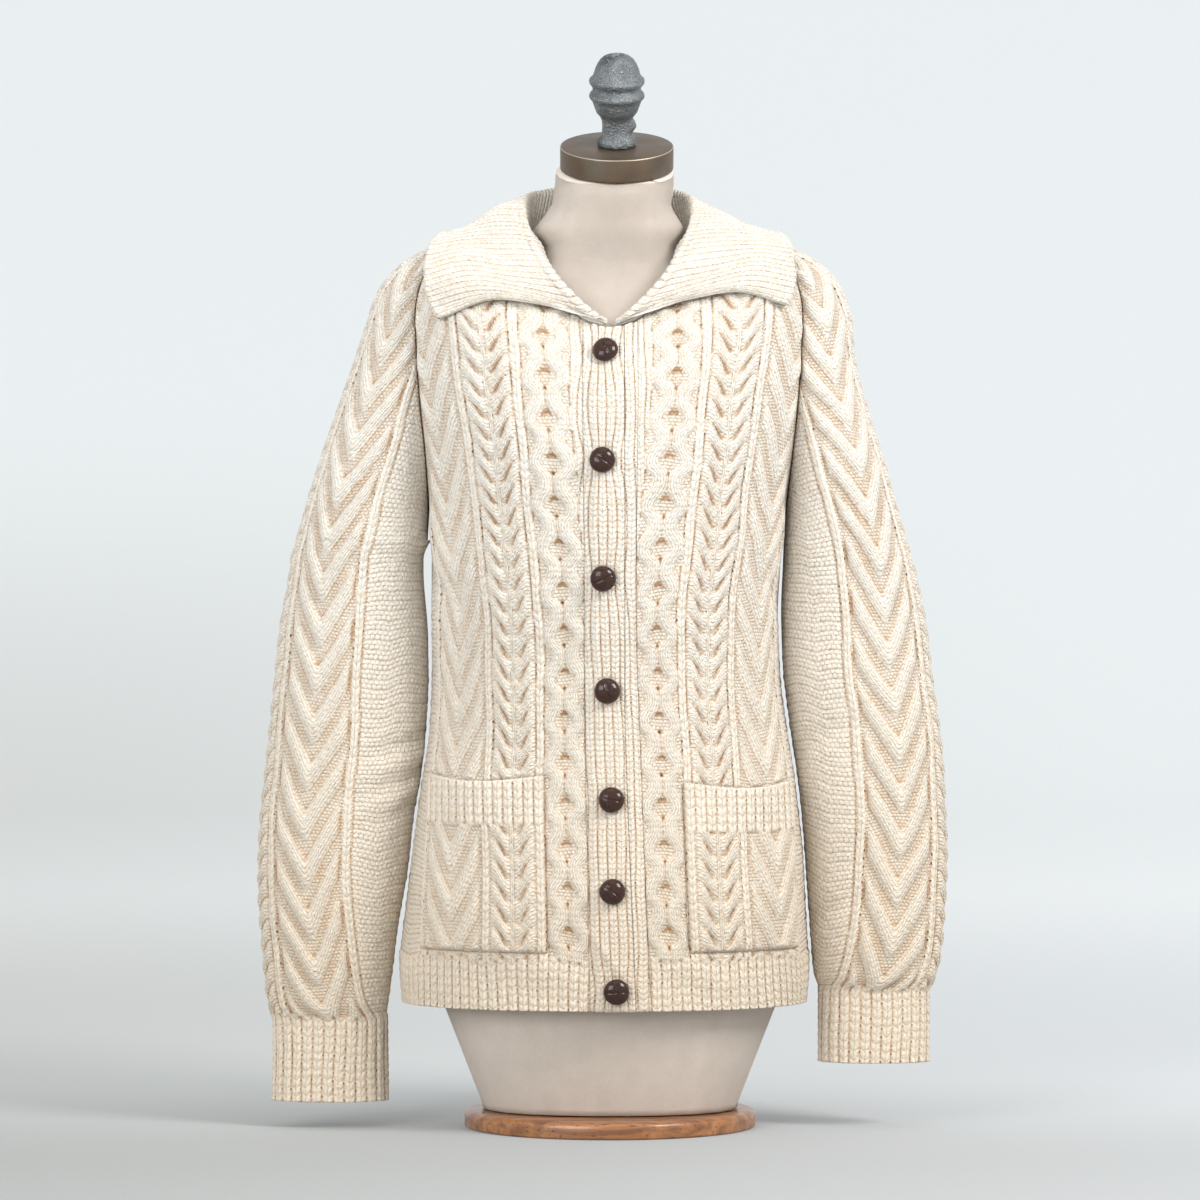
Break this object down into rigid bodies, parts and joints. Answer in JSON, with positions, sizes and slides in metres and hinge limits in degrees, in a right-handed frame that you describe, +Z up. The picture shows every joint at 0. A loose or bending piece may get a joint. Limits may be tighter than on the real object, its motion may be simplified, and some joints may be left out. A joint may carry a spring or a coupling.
{
  "type": "cable knit cardigan on a limbless dress form",
  "caption": "Cream hand-knit cardigan with cable columns, folded rib collar, leather dome buttons and patch pockets, worn by a limbless dress form on a round base.",
  "frame": {"origin": "centre of the form's base, on the floor", "axes": "+Z up, the front faces -Y, +X is the wearer's left"},
  "size_m": [0.6054, 0.2756, 0.9411],
  "materials": {
    "wool": "thick cream wool, matt",
    "leather": "dark brown, polished",
    "linen": "plain weave, matt",
    "bronze": "dark bronze, satin",
    "cast_metal": "grey, rough cast",
    "wood": "varnished, satin"
  },
  "bodies": {
    "root": {"back": "wool", "front_left": "wool", "front_right": "wool", "band_left": "wool", "band_right": "wool", "sleeve_left": "wool", "sleeve_right": "wool", "collar": "wool", "pocket_left": "wool", "pocket_right": "wool", "button_1": "leather", "button_2": "leather", "button_3": "leather", "button_4": "leather", "button_5": "leather", "button_6": "leather", "button_7": "leather", "form_torso": "linen", "form_cap": "bronze", "form_finial": "cast_metal", "form_base": "wood"}
  },
  "joints": []
}
